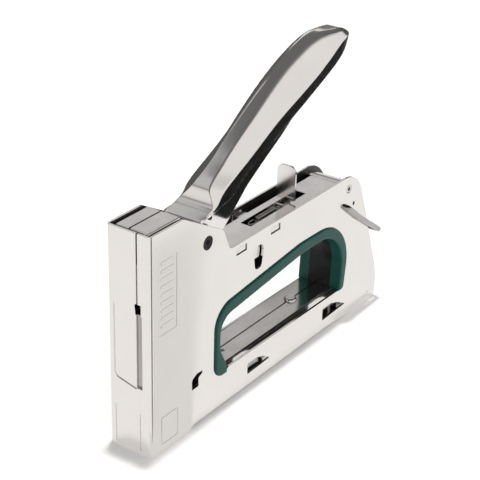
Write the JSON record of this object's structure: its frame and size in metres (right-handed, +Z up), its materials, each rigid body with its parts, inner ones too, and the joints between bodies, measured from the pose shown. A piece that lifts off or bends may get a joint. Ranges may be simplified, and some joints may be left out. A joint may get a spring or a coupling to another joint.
{
  "type": "staple gun",
  "caption": "Hand tacker in pressed steel: tall nose tower, slotted deck, green-lined finger opening, chrome squeeze handle and wire handle lock",
  "frame": {"origin": "under the middle of the tool, on the surface that it stands on", "axes": "+X forward to the nose, +Y to the tool's left, +Z up"},
  "size_m": [0.202, 0.0318, 0.169],
  "materials": {
    "shell_steel": "nickel-plated pressed steel, satin polish",
    "handle_chrome": "polished chromium plate",
    "inner_steel": "bright zinc-plated steel",
    "grip_plastic": "moulded dark green plastic, satin",
    "black_steel": "blackened steel",
    "spring_steel": "oiled spring steel wire",
    "staple_wire": "galvanised staple wire",
    "bumper_rubber": "black rubber"
  },
  "bodies": {
    "body": {"left_shell": "shell_steel", "right_shell": "shell_steel", "grip_insert": "grip_plastic", "inner_frame": "inner_steel", "back_strap": "inner_steel", "tower_cap_left": "inner_steel", "tower_cap_right": "inner_steel", "spring_seat": "black_steel", "nose_plate": "spring_steel", "blade_guide": "inner_steel", "bumper": "bumper_rubber", "nose_foot": "inner_steel", "magazine_channel": "inner_steel", "magazine_cover_left": "inner_steel", "magazine_cover_right": "inner_steel", "cover_rivet": "inner_steel", "pivot_pin": "black_steel", "stop_pin": "black_steel", "rear_spacer": "inner_steel", "bail_stops": "black_steel", "heel_rivets": "inner_steel", "spring_anchor": "inner_steel", "power_spring": "spring_steel", "adjuster_spring": "spring_steel"},
    "handle": {"handle_lever": "handle_chrome", "lift_lever_left": "handle_chrome", "lift_lever_right": "handle_chrome", "lever_spacer": "inner_steel", "lift_pin": "black_steel", "lift_roller": "inner_steel", "lever_bridge": "inner_steel", "tie_pin": "black_steel"},
    "hammer": {"hammer": "inner_steel", "driver_blade": "inner_steel", "hammer_pin": "black_steel"},
    "adjuster": {"force_adjuster": "inner_steel"},
    "bail": {"lock_bail": "spring_steel"},
    "magazine": {"magazine_rail": "inner_steel", "end_cap": "inner_steel", "latch_pin": "black_steel", "guide_rod": "inner_steel", "staple_strip": "staple_wire", "pusher_spring": "spring_steel"},
    "latch": {"magazine_latch": "black_steel"},
    "follower": {"pusher": "inner_steel"}
  },
  "joints": [
    {"name": "handle_swing", "type": "hinge", "parent": "body", "child": "handle", "pos_m": [0.0587, 0, 0.097], "axis": [0, -1, 0], "range_deg": [0, 27], "stiffness_Nm_per_rad": 3, "springref_deg": -8.59},
    {"name": "hammer_lift", "type": "slide", "parent": "body", "child": "hammer", "axis": [0, 0, 1], "range_m": [0, 0.0115], "deforming": ["power_spring"]},
    {"name": "adjuster_slide", "type": "slide", "parent": "body", "child": "adjuster", "axis": [1, 0, 0], "range_m": [-0.011, 0.003], "deforming": ["adjuster_spring"]},
    {"name": "bail_swing", "type": "hinge", "parent": "body", "child": "bail", "pos_m": [-0.0629, 0, 0.0699], "axis": [0, 1, 0], "range_deg": [0, 102]},
    {"name": "magazine_slide", "type": "slide", "parent": "body", "child": "magazine", "axis": [-1, 0, 0], "range_m": [0, 0.15]},
    {"name": "latch_press", "type": "hinge", "parent": "magazine", "child": "latch", "pos_m": [-0.0946, 0, 0.0122], "axis": [0, 1, 0], "range_deg": [0, 10], "stiffness_Nm_per_rad": 0.05, "springref_deg": -2.86},
    {"name": "follower_slide", "type": "slide", "parent": "magazine", "child": "follower", "axis": [1, 0, 0], "range_m": [-0.07, 0], "stiffness_N_per_m": 30, "springref_m": 0.04, "deforming": ["pusher_spring"]}
  ],
  "couplings": [
    {"joint": "hammer_lift", "follows": "handle_swing", "m_per_rad": 0.023555}
  ]
}
